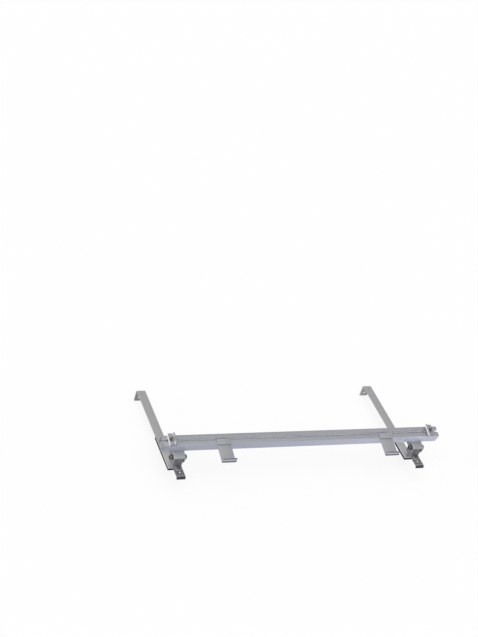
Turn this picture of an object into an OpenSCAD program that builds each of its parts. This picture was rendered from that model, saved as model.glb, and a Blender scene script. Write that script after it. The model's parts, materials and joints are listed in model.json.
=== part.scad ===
// Solar roof hook assembly: two roof hooks that carry one slotted rail.
// X runs along the rail, Y up the roof slope and Z away from the roof.
// The origin is midway between the two lip holes, on the face that bears on the batten.

/* [Hook straps] */
// Distance between the two hooks, centre to centre
hook_spacing = 1040; // [700:10:1080]
// Width of the flat strap
strap_w = 35; // [30:1:45]
// Thickness of the flat strap
strap_t = 5; // [4:0.5:8]
// Length of the strap along the roof
strap_len = 450; // [350:5:550]
// Depth of the lip that hooks over the batten, from the strap's top face
lip_h = 54; // [48:1:70]
// Inside radius of the strap's bend
bend_r = 4; // [2:0.5:8]
// Diameter of the screw hole in the lip
lip_hole_d = 10; // [6:0.5:12]
// Depth of the lip hole below the strap's top face
lip_hole_drop = 39; // [30:1:41]
// Diameter of the nail hole in the strap
nail_hole_d = 5.5; // [4:0.5:8]
// Distance of the nail hole from the batten face
nail_hole_in = 19; // [14:1:40]
// Length of the rubber pad under the strap
pad_len = 178; // [100:1:220]
// Thickness of the rubber pad
pad_t = 9; // [4:0.5:12]

/* [Feet] */
// Height of the tilt axis above the strap's top face
pivot_h = 70; // [66:1:80]
// Distance of the tilt axis past the end of the strap
pivot_ahead = 15; // [12:1:20]
// Width of the foot
foot_w = 35; // [32:1:40]
// Plate thickness of the foot
foot_t = 6; // [5:0.5:8]
// Height of the arm's top face above the strap's top face
arm_h = 35; // [32:1:38]
// Reach of the arm past the foot's front web
arm_reach = 60; // [50:1:80]
// Depth of the arm's turned-down nose
nose_h = 12; // [9:0.5:16]
// Reach of the foot's base behind the tilt axis
foot_back = 30; // [24:1:34]
// Inside radius of the bend at the foot's nose
nose_r = 2; // [1:0.5:3]
// Width of the slot in the foot's arm
arm_slot_w = 11; // [10.5:0.5:12]
// Travel of the arm's bolt along the slot
arm_slot_run = 17; // [6:1:24]
// Thickness of the foot's two ears
ear_t = 5; // [4:0.5:6]
// Distance from the tilt axis to the web's front face
web_ahead = 14; // [13.5:0.5:16]
// Thickness of the rib that joins foot and strap
rib_t = 8; // [6:1:10]
// Offset of the rib from the middle of the strap
rib_x = 8; // [4:1:9]
// Length of the rib along the strap
rib_len = 22; // [16:1:30]
// Leg of the weld beads beside the rib
weld = 4; // [2:0.5:5]

/* [Saddles] */
// Tilt of the rail against the strap, in degrees
tilt = 14.5; // [0:0.5:30]
// Wall thickness of the saddle
saddle_wall = 5; // [4:0.5:6]
// Thickness of the saddle's top
saddle_top_t = 6; // [5:0.5:8]
// Height of the saddle's walls, top included
saddle_h = 32; // [30:1:40]
// Clearance between the foot and the saddle on each side
saddle_clear = 1.5; // [1:0.25:3]
// Distance from the tilt axis to the saddle's front edge
saddle_front = 18; // [16:1:24]
// Height of the saddle's top face above the tilt axis
saddle_rise = 17; // [17:0.5:22]
// Outside corner radius of the saddle
saddle_r = 4; // [2:0.5:4.5]
// Corner radius of the saddle's walls in side view
saddle_wall_r = 2.5; // [1:0.5:10]

/* [Rail] */
// Length of the rail
rail_len = 1200; // [1190:5:1400]
// Depth of the rail up the slope
rail_w = 46; // [40:1:60]
// Height of the rail
rail_h = 40; // [36:1:60]
// Shift of the rail along X against the middle of the hooks
rail_shift = 8; // [-10:1:10]
// Distance from the tilt axis to the rail's front face
rail_ahead = 15; // [14:1:20]
// Outer wall thickness of the rail
rail_wall = 2.5; // [2:0.25:4]
// Width of the slot openings
slot_w = 10; // [9:0.5:12]
// Width of the channel behind each slot
channel_w = 20; // [18:1:24]
// Depth of the channel behind each slot
channel_h = 8; // [8:0.5:10]
// Thickness of the slot lips
lip_t = 3; // [2:0.25:4]
// Thickness of the channel walls
channel_wall = 2; // [1.5:0.25:3]

/* [Collector clamps] */
// Distance from the left end of the rail to the outer face of its clamp
clamp_inset_left = 23; // [21:0.5:50]
// Distance from the right end of the rail to the outer face of its clamp
clamp_inset_right = 27.5; // [21:0.5:50]
// Width of the clamp's body
clamp_body = 20; // [19:1:26]
// Height of the clamp's body
clamp_h = 10; // [9:0.5:14]
// Width of the clamp's jaw
jaw_w = 7; // [5:0.5:12]
// Height of the jaw's top above the rail
jaw_h = 16; // [15:0.5:24]
// Height of the mouth under the jaw
mouth_h = 7; // [5:0.5:7.5]
// Thickness of the clamp's walls
clamp_wall = 3; // [2.5:0.25:4]
// Length of the clamp past the rail's front and rear faces
clamp_over = 2; // [0:0.5:6]

/* [Collector stops] */
// Drop of the stop's shelf below the rail's top face
stop_drop = 4; // [0:0.5:8]
// Distance from the rail's middle to the middle of each stop
stop_x = 353.5; // [200:0.5:450]
// Width of the stop
stop_w = 57; // [40:1:80]
// Sheet thickness of the stop
stop_t = 3; // [2:0.25:3.25]
// Inside radius of the stop's bends
stop_bend = 1; // [0.5:0.25:2]
// Reach of the stop past the rail's front face
stop_reach = 81; // [60:1:110]
// Height of the upturned lip above the shelf
stop_lip = 20; // [18:1:36]
// Setback of the lip's upper half
stop_set = 4; // [3.25:0.25:8]

/* [Fasteners] */
// Diameter of the pivot and arm bolts
pivot_d = 10; // [8:1:10]
// Diameter of the saddle and clamp bolts
small_d = 8; // [6:1:8]
// Width across flats of the pivot and arm bolts and nuts
pivot_flats = 17; // [15:1:19]
// Width across flats of the saddle nuts
small_flats = 13; // [11:1:15]
// Diameter of the washer on the foot's arm
arm_washer_d = 24; // [20:1:28]
// Thickness of the washers
washer_t = 2; // [1:0.5:3]
// Radial clearance of a bolt in a running or bolted hole
bolt_clear = 0.1; // [0.05:0.05:0.3]
// Radial clearance of a bolt in its own nut
nut_clear = 0.05; // [0.02:0.01:0.1]
// Gap between the rail and what slides on it
slide_gap = 0.2; // [0.1:0.05:0.3]
// Length of thread that shows past a nut
tail = 3; // [1:0.5:4]

/* [Hidden] */
$fn = 64;
eps = 0.01;

zinc = [0.64, 0.64, 0.64];
alu = [0.63, 0.63, 0.66];
dark_steel = [0.36, 0.36, 0.38];
bolt_steel = [0.27, 0.27, 0.29];
rubber_black = [0.07, 0.07, 0.07];

// Heights and places of the hook
strap_top = lip_hole_drop;
strap_end = strap_t - strap_len;
pivot_y = strap_end - pivot_ahead;
pivot_z = strap_top + pivot_h;
arm_top = strap_top + arm_h;
arm_low = arm_top - foot_t;
web_front = pivot_y - web_ahead;
web_rear = web_front + foot_t;
arm_end = web_front - arm_reach;

// Metric fasteners: head, nut and washer by thread size
function head_h(d) = 0.64 * d;
function nut_h(d) = 0.8 * d;
function washer_r(d) = 1.05 * d;

// Foot
ear_r = 10;
fillet_r = 2;
arm_bolt_y = web_front - fillet_r - arm_washer_d / 2 - slide_gap;
web_top = pivot_z + 1;
arm_rear = pivot_y + foot_back;

// Saddle and rail, in the tilted frame
saddle_in = foot_w + 2 * saddle_clear;
saddle_out = saddle_in + 2 * saddle_wall;
saddle_under = saddle_rise - saddle_top_t;
rail_low = saddle_rise;
rail_top = saddle_rise + rail_h;
rail_rear = rail_ahead + rail_w;
slot_y = rail_ahead + rail_w / 2;

// Pivot stack
pivot_nut_x = -saddle_out / 2 - washer_t;
pivot_tail = pivot_nut_x - nut_h(pivot_d) - tail;

// Clamp parts
clamp_seat = rail_top + slide_gap;
clamp_bolt_u = clamp_wall + washer_r(small_d) - 0.2;
nut_plate_t = 4.5;
nut_plate_l = 16;
nut_plate_w = channel_w - 2;
nut_plate_top = rail_top - lip_t - slide_gap;

module bolt_head(d, af) {
    intersection() {
        cylinder(h = head_h(d), d = af / cos(30), $fn = 6);
        union() {
            cylinder(h = head_h(d) * 0.75, d = af * 1.16);
            translate([0, 0, head_h(d) * 0.75 - eps])
                cylinder(h = head_h(d) * 0.25 + eps, d1 = af * 1.16, d2 = af * 0.98);
        }
    }
}

// Hex bolt with the head above z = 0 and the shank below
module hex_bolt(d, af, len) {
    bolt_head(d, af);
    translate([0, 0, -len + d / 10]) cylinder(h = len - d / 10 + eps, d = d);
    translate([0, 0, -len]) cylinder(h = d / 10 + eps, d1 = d * 0.8, d2 = d);
}

// Hex nut with both faces chamfered
module hex_nut(d, af) {
    rim = nut_h(d) / 5;
    difference() {
        intersection() {
            cylinder(h = nut_h(d), d = af / cos(30), $fn = 6);
            union() {
                cylinder(h = rim + eps, d1 = af * 0.98, d2 = af * 1.16);
                translate([0, 0, rim]) cylinder(h = nut_h(d) - 2 * rim, d = af * 1.16);
                translate([0, 0, nut_h(d) - rim - eps])
                    cylinder(h = rim + eps, d1 = af * 1.16, d2 = af * 0.98);
            }
        }
        translate([0, 0, -1]) cylinder(h = nut_h(d) + 2, d = d + 2 * nut_clear);
    }
}

module washer(d, r) {
    difference() {
        cylinder(h = washer_t, r = r);
        translate([0, 0, -1]) cylinder(h = washer_t + 2, d = d + 2 * bolt_clear);
    }
}

// What is left of a square corner outside its rounding
module corner_2d(r) {
    difference() {
        square(r + 1);
        circle(r);
    }
}

// Part of a ring of wall t round an inside radius r, through one quarter turn
module arc_2d(r, t, from, turn) {
    far = 2 * (r + t);
    intersection() {
        difference() {
            circle(r + t);
            if (r > 0) circle(r);
        }
        rotate(turn > 0 ? from : from - 90) square(far);
    }
}

// Bent sheet of thickness t on the left of the path through pts, whose turns are square,
// with inside radius r[i] at the i-th inner point of the path
module bent_sheet(pts, t, r) {
    last = len(pts) - 1;
    way = [for (i = [0:last - 1]) let (d = pts[i + 1] - pts[i]) atan2(d[1], d[0])];
    turn = [for (i = [0:last]) i == 0 || i == last ? 0
        : (way[i] - way[i - 1] + 540) % 360 - 180];
    trim = [for (i = [0:last]) i == 0 || i == last ? 0
        : r[i - 1] + (turn[i] > 0 ? t : 0)];
    for (i = [0:last - 1]) translate(pts[i]) rotate(way[i]) {
        span = norm(pts[i + 1] - pts[i]);
        translate([trim[i], 0]) square([span - trim[i] - trim[i + 1], t]);
        if (turn[i + 1] > 0) translate([span - trim[i + 1], t + r[i]])
            arc_2d(r[i], t, -90, turn[i + 1]);
        if (turn[i + 1] < 0) translate([span - trim[i + 1], -r[i]])
            arc_2d(r[i], t, 90, turn[i + 1]);
    }
}

// The outside corner that an extruded profile loses, as a solid along X
module corner_along_x(r, len) {
    rotate([90, 0, 90]) translate([0, 0, -len / 2]) linear_extrude(len) corner_2d(r);
}

module at_hook(side) {
    translate([side * hook_spacing / 2, 0, 0]) children();
}

module at_hooks() {
    for (side = [-1, 1]) at_hook(side) children();
}

// The tilted frame: its origin is the tilt axis
module tilted() {
    translate([0, pivot_y, pivot_z]) rotate([tilt, 0, 0]) children();
}

// A section in the Y-Z plane, extruded along X about x = 0
module along_x(len) {
    rotate([90, 0, 90]) translate([0, 0, -len / 2]) linear_extrude(len) children();
}

// A section in the X-Z plane, extruded along Y from y0 to y1
module along_y(y0, y1) {
    translate([0, y1, 0]) rotate([90, 0, 0]) linear_extrude(y1 - y0) children();
}

module strap(side) {
    under = strap_top - strap_t;
    color(zinc) at_hook(side) difference() {
        along_x(strap_w) bent_sheet(
            [[strap_end, under], [0, under], [0, strap_top - lip_h]], strap_t, [bend_r]);
        rotate([90, 0, 0]) cylinder(h = 4 * strap_t, d = lip_hole_d, center = true);
        translate([0, -nail_hole_in, strap_top])
            cylinder(h = 4 * strap_t, d = nail_hole_d, center = true);
    }
}

module pad(side) {
    color(rubber_black) at_hook(side)
        translate([-strap_w / 2, strap_end, strap_top - strap_t - pad_t])
            cube([strap_w, pad_len, pad_t]);
}

module foot(side) {
    color(dark_steel) at_hook(side) difference() {
        union() {
            along_x(foot_w) arm_and_web();
            for (x = [-foot_w / 2, foot_w / 2 - ear_t]) translate([x, 0, 0]) ear();
            rib();
        }
        translate([0, pivot_y, pivot_z]) rotate([0, 90, 0])
            cylinder(h = foot_w + 2, d = pivot_d + 2 * bolt_clear, center = true);
        translate([0, 0, arm_low - 1]) linear_extrude(foot_t + 2) arm_slot_2d();
    }
}

// Slot in which the arm's bolt can be set forward
module arm_slot_2d() {
    for (y = [arm_bolt_y, arm_bolt_y - arm_slot_run]) translate([0, y]) circle(arm_slot_w / 2);
    translate([-arm_slot_w / 2, arm_bolt_y - arm_slot_run]) square([arm_slot_w, arm_slot_run]);
}

// Side view of the flat arm with its nose bent down, and of the front web that stands on it
module arm_and_web() {
    bent_sheet(
        [[arm_end + foot_t, arm_top - nose_h], [arm_end + foot_t, arm_low], [arm_rear, arm_low]],
        foot_t, [nose_r]);
    polygon([
        [web_rear, arm_top - 1], [web_rear, web_top],
        [web_front + fillet_r, web_top], [web_front, web_top - fillet_r],
        [web_front, arm_top + fillet_r], [web_front - fillet_r, arm_top],
        [web_front - fillet_r, arm_top - 1]
    ]);
}

// One ear of the fork: a gusset that rises from the base to the round end at the tilt axis
module ear() {
    rotate([90, 0, 90]) linear_extrude(ear_t) {
        translate([pivot_y, pivot_z]) circle(ear_r);
        polygon([
            [web_front + 1, arm_low + 1], [arm_rear, arm_low + 1], [arm_rear, arm_top + 4],
            [pivot_y + ear_r, pivot_z], [web_front + 1, pivot_z]
        ]);
    }
}

// Leaning rib from the strap's end to the underside of the foot, with its weld beads
module rib() {
    top_y = arm_rear - 2;
    translate([rib_x, 0, 0]) {
        along_x(rib_t) polygon([
            [strap_end, strap_top], [strap_end + rib_len, strap_top],
            [top_y, arm_low], [top_y, arm_low + 1],
            [top_y - rib_len, arm_low + 1], [top_y - rib_len, arm_low]
        ]);
        along_y(strap_end, strap_end + rib_len) polygon([
            [-rib_t / 2 - weld, strap_top], [rib_t / 2 + weld, strap_top],
            [rib_t / 2 - 1, strap_top + weld + 1], [1 - rib_t / 2, strap_top + weld + 1]
        ]);
    }
}

module arm_bolts() {
    grip = washer_t + foot_t + nut_h(pivot_d) + tail;
    color(bolt_steel) at_hooks() translate([0, arm_bolt_y, arm_top + washer_t])
        hex_bolt(pivot_d, pivot_flats, grip);
}

module arm_washers() {
    color(zinc) at_hooks() translate([0, arm_bolt_y, arm_top])
        washer(pivot_d, arm_washer_d / 2);
}

module arm_nuts() {
    color(bolt_steel) at_hooks() translate([0, arm_bolt_y, arm_low - nut_h(pivot_d)])
        hex_nut(pivot_d, pivot_flats);
}

// Places what lies on the tilt axis, with its own +Z along +X
module on_pivot(x) {
    translate([x, pivot_y, pivot_z]) rotate([0, 90, 0]) children();
}

module pivot_bolts() {
    head_x = saddle_out / 2 + washer_t;
    color(bolt_steel) at_hooks() on_pivot(head_x)
        hex_bolt(pivot_d, pivot_flats, head_x - pivot_tail);
}

module pivot_sleeves() {
    sleeve_len = foot_w - 2 * ear_t;
    color(zinc) at_hooks() on_pivot(-sleeve_len / 2) difference() {
        cylinder(h = sleeve_len, r = web_ahead - foot_t - 1);
        translate([0, 0, -1]) cylinder(h = sleeve_len + 2, d = pivot_d + 2 * bolt_clear);
    }
}

module pivot_washers() {
    color(bolt_steel) at_hooks() {
        for (x = [saddle_out / 2, pivot_nut_x])
            on_pivot(x) washer(pivot_d, washer_r(pivot_d));
    }
}

module pivot_nuts() {
    color(bolt_steel) at_hooks() on_pivot(pivot_nut_x - nut_h(pivot_d))
        hex_nut(pivot_d, pivot_flats);
}

// Inverted U that turns on the pivot bolt and carries the rail
module saddle(side) {
    low = saddle_rise - saddle_h;
    wall_r = saddle_wall_r;
    color(alu) at_hook(side) tilted() difference() {
        along_y(-saddle_front, rail_rear) difference() {
            translate([-saddle_out / 2, low]) square([saddle_out, saddle_h]);
            translate([-saddle_in / 2, low - 1]) square([saddle_in, saddle_under - low + 1]);
            for (m = [0, 1]) mirror([m, 0])
                translate([saddle_out / 2 - saddle_r, saddle_rise - saddle_r]) corner_2d(saddle_r);
        }
        rotate([0, 90, 0])
            cylinder(h = saddle_out + 2, d = pivot_d + 2 * bolt_clear, center = true);
        translate([0, slot_y, 0]) cylinder(h = 2 * saddle_rise, d = small_d + 2 * bolt_clear);
        translate([0, wall_r - saddle_front, low + wall_r]) rotate([180, 0, 0])
            corner_along_x(wall_r, saddle_out + 2);
        translate([0, rail_rear - wall_r, low + wall_r]) mirror([0, 0, 1])
            corner_along_x(wall_r, saddle_out + 2);
    }
}

// One slot opening and its channel, cut down from the rail's top face at z = 0
module t_slot_2d() {
    translate([-slot_w / 2, -lip_t - eps]) square([slot_w, lip_t + 1]);
    translate([-channel_w / 2, -lip_t - channel_h]) square([channel_w, channel_h]);
}

module rail_section() {
    house_w = channel_w + 2 * channel_wall;
    house_h = lip_t + channel_h + channel_wall;
    difference() {
        translate([-rail_w / 2, 0]) square([rail_w, rail_h]);
        for (m = [0, 1]) mirror([m, 0]) {
            translate([rail_w / 2 - 1, rail_h - 1]) corner_2d(1);
            translate([rail_w / 2 - 1, 1]) mirror([0, 1]) corner_2d(1);
        }
        difference() {
            translate([rail_wall - rail_w / 2, rail_wall])
                square([rail_w - 2 * rail_wall, rail_h - 2 * rail_wall]);
            translate([-house_w / 2, 0]) square([house_w, house_h]);
            translate([-house_w / 2, rail_h - house_h]) square([house_w, house_h]);
        }
        translate([0, rail_h]) t_slot_2d();
        mirror([0, 1]) t_slot_2d();
    }
}

module rail() {
    color(alu) tilted() translate([rail_shift, slot_y, rail_low])
        along_x(rail_len) rail_section();
}

// Hammer-head bolt: its head, with the ends rounded to turn in the channel, lies across
// the slot and its shank points down
module saddle_bolts() {
    seat = rail_low + lip_t;
    low = saddle_under - washer_t - nut_h(small_d) - tail;
    head_t = 4.5;
    head_w = slot_w - 2 * slide_gap;
    color(bolt_steel) at_hooks() tilted() translate([0, slot_y, 0]) {
        translate([0, 0, seat]) intersection() {
            cylinder(h = head_t, d = channel_w - 1);
            translate([-head_w / 2, 1 - channel_w / 2, -1])
                cube([head_w, channel_w - 2, head_t + 2]);
        }
        translate([0, 0, low]) cylinder(h = seat - low + eps, d = small_d);
    }
}

module saddle_washers() {
    color(zinc) at_hooks() tilted() translate([0, slot_y, saddle_under - washer_t])
        washer(small_d, washer_r(small_d));
}

module saddle_nuts() {
    color(bolt_steel) at_hooks() tilted()
        translate([0, slot_y, saddle_under - washer_t - nut_h(small_d)])
            hex_nut(small_d, small_flats);
}

// Clamp frame: x = 0 at the outer face, x towards the rail's middle, z = 0 on the rail
module at_clamp(side) {
    clamp_out = rail_len / 2 - (side > 0 ? clamp_inset_right : clamp_inset_left);
    tilted() translate([rail_shift, 0, clamp_seat]) mirror([side > 0 ? 1 : 0, 0, 0])
        translate([-clamp_out, 0, 0]) children();
}

module clamp(side) {
    color(alu) at_clamp(side) difference() {
        along_y(rail_ahead - clamp_over, rail_rear + clamp_over) difference() {
            union() {
                square([clamp_body, clamp_h]);
                translate([clamp_body - eps, mouth_h + 1])
                    square([jaw_w + eps, jaw_h - mouth_h - 1]);
                translate([clamp_body + jaw_w - 2, mouth_h]) square([2, 1 + eps]);
            }
            translate([clamp_wall, -1])
                square([clamp_body - 2 * clamp_wall - 1, clamp_h - clamp_wall]);
            translate([clamp_body + jaw_w - 1, jaw_h - 1]) corner_2d(1);
        }
        translate([clamp_bolt_u, slot_y, 0])
            cylinder(h = clamp_h + 1, d = small_d + 2 * bolt_clear);
    }
}

module clamp_washer(side) {
    color(bolt_steel) at_clamp(side) translate([clamp_bolt_u, slot_y, clamp_h])
        washer(small_d, washer_r(small_d));
}

// Cap screw with a hexagon socket, down into the slot nut
module clamp_bolt(side) {
    low = nut_plate_top - nut_plate_t - 1 - clamp_seat;
    seat = clamp_h + washer_t;
    head_d = 1.6 * small_d;
    color(bolt_steel) at_clamp(side) translate([clamp_bolt_u, slot_y, 0]) difference() {
        union() {
            translate([0, 0, low]) cylinder(h = seat - low + eps, d = small_d);
            translate([0, 0, seat]) cylinder(h = small_d * 0.9, d = head_d);
            translate([0, 0, seat + small_d * 0.9 - eps])
                cylinder(h = small_d * 0.1 + eps, d1 = head_d, d2 = head_d - 1.6);
        }
        translate([0, 0, seat + small_d / 2])
            cylinder(h = small_d, d = 0.75 * small_d / cos(30), $fn = 6);
    }
}

module slot_nut(side) {
    color(zinc) at_clamp(side)
        translate([clamp_bolt_u, slot_y, nut_plate_top - nut_plate_t - clamp_seat]) difference() {
            translate([-nut_plate_l / 2, -nut_plate_w / 2, 0])
                cube([nut_plate_l, nut_plate_w, nut_plate_t]);
            translate([0, 0, -1]) cylinder(h = nut_plate_t + 2, d = small_d + 2 * nut_clear);
        }
}

// Bent sheet: a toe in the slot, a tread on the rail, a shelf in front and an upturned lip.
// Section frame: y from the tilt axis, z = 0 on the rail's top face.
module stop_section() {
    leg_rear = slot_y - slot_w / 2 + slide_gap + stop_t;
    toe_z = -lip_t - slide_gap - stop_t;
    tread_z = slide_gap + stop_t;
    riser_y = rail_ahead - slide_gap - stop_t;
    riser_r = min(stop_bend, (stop_drop + slide_gap) / 2);
    lip_rear = rail_ahead - stop_reach + stop_t;
    lip_top = stop_lip - stop_drop;
    knee = stop_t / 4;
    knee_z = lip_top - stop_lip / 2;
    bent_sheet([
        [slot_y - channel_w / 2 + 1, toe_z], [leg_rear, toe_z], [leg_rear, tread_z],
        [riser_y, tread_z], [riser_y, -stop_drop], [lip_rear, -stop_drop],
        [lip_rear, knee_z - knee]
    ], stop_t, [0, 0, riser_r, riser_r, stop_bend]);
    // The joggle that sets the upper half of the lip back
    polygon([
        [lip_rear, knee_z - knee], [lip_rear + stop_set, knee_z + stop_set - knee],
        [lip_rear + stop_set, lip_top], [lip_rear + stop_set - stop_t, lip_top],
        [lip_rear + stop_set - stop_t, knee_z + stop_set + knee],
        [lip_rear - stop_t, knee_z + knee], [lip_rear - stop_t, knee_z - knee]
    ]);
}

module stop(side) {
    color(alu) tilted() translate([rail_shift + side * stop_x, 0, rail_top])
        along_x(stop_w) stop_section();
}

strap(-1);  // strap_left
strap(1);  // strap_right
pad(-1);  // pad_left
pad(1);  // pad_right
foot(-1);  // foot_left
foot(1);  // foot_right
arm_bolts();
arm_washers();
arm_nuts();
pivot_bolts();
pivot_sleeves();
pivot_washers();
pivot_nuts();
saddle(-1);  // saddle_left
saddle(1);  // saddle_right
rail();
saddle_bolts();
saddle_washers();
saddle_nuts();
clamp(-1);  // clamp_left
clamp_bolt(-1);  // clamp_bolt_left
clamp_washer(-1);  // clamp_washer_left
slot_nut(-1);  // slot_nut_left
clamp(1);  // clamp_right
clamp_bolt(1);  // clamp_bolt_right
clamp_washer(1);  // clamp_washer_right
slot_nut(1);  // slot_nut_right
stop(-1);  // stop_left
stop(1);  // stop_right
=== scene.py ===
# %% [markdown]
# # A solar collector rail on two roof hooks
#
# The real object is a kit of plain metal parts. A slotted aluminium rail lies across two
# steel hooks. Each hook is a flat strap that goes up under the tiles, and a dark forked
# foot on its lower end. An aluminium saddle sits over each fork, turns on its bolt and
# carries the rail. Two clamps and two bent stops sit in the rail's top slot and hold the
# collectors.
#
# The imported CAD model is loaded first. It gives every part at its true place, so this
# lesson is about light, finishes and the small forms that a drawing office leaves out.
# All lengths are in metres.

# %% The fixed frame
import json
import math

import bpy
from mathutils import Matrix, Vector


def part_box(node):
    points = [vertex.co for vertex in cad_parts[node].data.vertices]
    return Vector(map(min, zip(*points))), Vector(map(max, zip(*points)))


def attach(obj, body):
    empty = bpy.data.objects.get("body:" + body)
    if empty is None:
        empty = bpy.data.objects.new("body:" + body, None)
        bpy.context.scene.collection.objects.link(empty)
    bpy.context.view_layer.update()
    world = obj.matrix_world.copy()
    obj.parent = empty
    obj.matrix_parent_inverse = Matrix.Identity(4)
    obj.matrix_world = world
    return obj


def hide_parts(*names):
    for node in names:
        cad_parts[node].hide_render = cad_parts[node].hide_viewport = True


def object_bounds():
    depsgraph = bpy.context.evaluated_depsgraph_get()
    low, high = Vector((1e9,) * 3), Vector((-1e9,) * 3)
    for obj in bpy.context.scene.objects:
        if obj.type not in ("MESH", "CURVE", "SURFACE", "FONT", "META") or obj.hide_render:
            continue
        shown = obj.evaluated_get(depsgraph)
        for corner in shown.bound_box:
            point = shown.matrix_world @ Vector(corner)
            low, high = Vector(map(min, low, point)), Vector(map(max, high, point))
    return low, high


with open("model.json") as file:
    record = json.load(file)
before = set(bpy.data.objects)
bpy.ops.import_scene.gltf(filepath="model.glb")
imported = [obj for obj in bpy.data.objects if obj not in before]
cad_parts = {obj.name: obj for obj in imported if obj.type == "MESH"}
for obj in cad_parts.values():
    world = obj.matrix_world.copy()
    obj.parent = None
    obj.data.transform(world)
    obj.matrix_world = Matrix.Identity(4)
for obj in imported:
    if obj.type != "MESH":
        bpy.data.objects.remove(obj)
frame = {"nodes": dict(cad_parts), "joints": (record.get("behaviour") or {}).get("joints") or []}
nodes = frame["nodes"]
cad_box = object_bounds()
scene = bpy.context.scene
print("parts in the frame:", len(nodes))

# %% [markdown]
# ## Measures from the frame
#
# The rail leans against the straps and turns on the bolts through the forks. The joint in
# the frame says where that axis is, and how far the rail can turn back until it lies
# level with the roof, which is its lean. Turned back by its lean the rail is a plain
# upright bar, so places on it are given in that leaning frame. Reading these values from
# the frame is safer than typing them again, because both then always agree.

# %% Measures
tilt_joint = next(joint for joint in frame["joints"] if joint["name"] == "rail_tilt")
PIVOT = Vector(tilt_joint["pos_m"])
LEAN = math.radians(-tilt_joint["range_deg"][0])


def corners(node_name):
    """A part's lowest and highest corner."""
    low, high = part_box(node_name)
    return Vector(low), Vector(high)


def leaning_corners(node_name):
    """A part's lowest and highest corner in the rail's leaning frame."""
    turn_back = Matrix.Rotation(-LEAN, 4, "X") @ Matrix.Translation(-PIVOT)
    points = [turn_back @ point.co for point in nodes[node_name].data.vertices]
    low = Vector([min(point[axis] for point in points) for axis in range(3)])
    high = Vector([max(point[axis] for point in points) for axis in range(3)])
    return low, high


strap_low, strap_high = corners("strap_left")
foot_low = corners("foot_left")[0]
rail_low, rail_high = leaning_corners("rail")
stop_low, stop_high = leaning_corners("stop_left")
HOOK_X = -(strap_low.x + strap_high.x) / 2
STRAP_TOP = strap_high.z
ARM_TOP = corners("arm_washers")[0].z
ARM_UNDER = corners("arm_nuts")[1].z
RAIL_MID = (rail_low.y + rail_high.y) / 2
print("hooks at x = -/+", round(HOOK_X, 4), "and arms at z =", round(ARM_UNDER, 4), round(ARM_TOP, 4))
print("rail, leaning:", [round(v, 4) for v in rail_low], [round(v, 4) for v in rail_high])

# %% [markdown]
# ## The camera
#
# The picture was taken with a long lens from above and to the left. The camera's three
# axes are written as vectors, because the roof slope tilts the object against the
# horizon, and angles would hide that. Right, up and forward form the camera's matrix,
# with the third column reversed, because a Blender camera looks along its own -Z.

# %% Camera
LENS_MM = 80.59
SENSOR_MM = 36.0
CAMERA_PLACE = (-2.5139, -4.0517, 3.6217)
FAR_LIMIT = 60.0
forward = Vector((0.4097, 0.7149, -0.5666)).normalized()
right = Vector((0.9122, -0.3199, 0.2560))
right = (right - forward * right.dot(forward)).normalized()
up = right.cross(forward)

camera_data = bpy.data.cameras.new("view_camera")
camera_data.lens = LENS_MM
camera_data.sensor_width = SENSOR_MM
camera_data.clip_end = FAR_LIMIT
camera = bpy.data.objects.new("view_camera", camera_data)
scene.collection.objects.link(camera)
rotation = Matrix((right, up, -forward)).transposed()
camera.matrix_world = Matrix.Translation(CAMERA_PLACE) @ rotation.to_4x4()
scene.camera = camera
print("camera looks along", [round(v, 3) for v in forward])

# %% [markdown]
# ## Rays that see white
#
# The picture stands on clean white, but a floor and room that are bright enough to look
# white would also light the object from all sides and wash out its greys. The Light Path
# node tells what a ray is for. Camera rays and reflections get the full white, and the
# rays that carry light get less.

# %% Node helpers


def math_node(tree, operation, a, b):
    """One Math node. Each of a and b is a socket or a number."""
    node = tree.nodes.new("ShaderNodeMath")
    node.operation = operation
    for slot, value in enumerate((a, b)):
        if isinstance(value, (int, float)):
            node.inputs[slot].default_value = value
        else:
            tree.links.new(value, node.inputs[slot])
    return node.outputs[0]


def seen_or_mirrored(tree):
    """1 for camera rays and reflections, 0 for the rays that carry light."""
    paths = tree.nodes.new("ShaderNodeLightPath")
    return math_node(tree, "MAXIMUM", paths.outputs["Is Camera Ray"], paths.outputs["Is Glossy Ray"])


def deselect_all():
    """Edit operators act on everything that is selected, so each step starts with nothing."""
    for other in bpy.context.selected_objects:
        other.select_set(False)


# %% [markdown]
# ## Floor
#
# A pale matt floor takes the object's shadow. Part of it is mixed with a plain white glow,
# so that it melts into the backdrop. The mix is kept under one, or the shadow would be
# lost. The floor lies a hair below the object, because two faces in one plane flicker.

# %% Floor
WHITE = (1.0, 1.0, 1.0, 1.0)
FLOOR_GREY = (0.96, 0.96, 0.96, 1.0)
FLOOR_SIZE = 40.0
FLOOR_GAP = 0.0005
GLOW_SHARE = 0.82


def floor_paint():
    """A matt pale paint that shows mostly as plain white."""
    material = bpy.data.materials.new("white_floor")
    material.use_nodes = True
    tree = material.node_tree
    tree.nodes.clear()
    out = tree.nodes.new("ShaderNodeOutputMaterial")
    mix = tree.nodes.new("ShaderNodeMixShader")
    matt = tree.nodes.new("ShaderNodeBsdfDiffuse")
    glow = tree.nodes.new("ShaderNodeEmission")
    matt.inputs["Color"].default_value = FLOOR_GREY
    glow.inputs["Color"].default_value = WHITE
    share = math_node(tree, "MULTIPLY", seen_or_mirrored(tree), GLOW_SHARE)
    tree.links.new(share, mix.inputs["Fac"])
    tree.links.new(matt.outputs[0], mix.inputs[1])
    tree.links.new(glow.outputs[0], mix.inputs[2])
    tree.links.new(mix.outputs[0], out.inputs["Surface"])
    return material


deselect_all()
floor_height = cad_box[0][2] - FLOOR_GAP
bpy.ops.mesh.primitive_plane_add(size=FLOOR_SIZE, location=(0.0, 0.0, floor_height))
floor = bpy.context.object
floor.name = "studio_floor"
floor.data.materials.append(floor_paint())
print("floor at z =", round(floor_height, 4))

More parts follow.
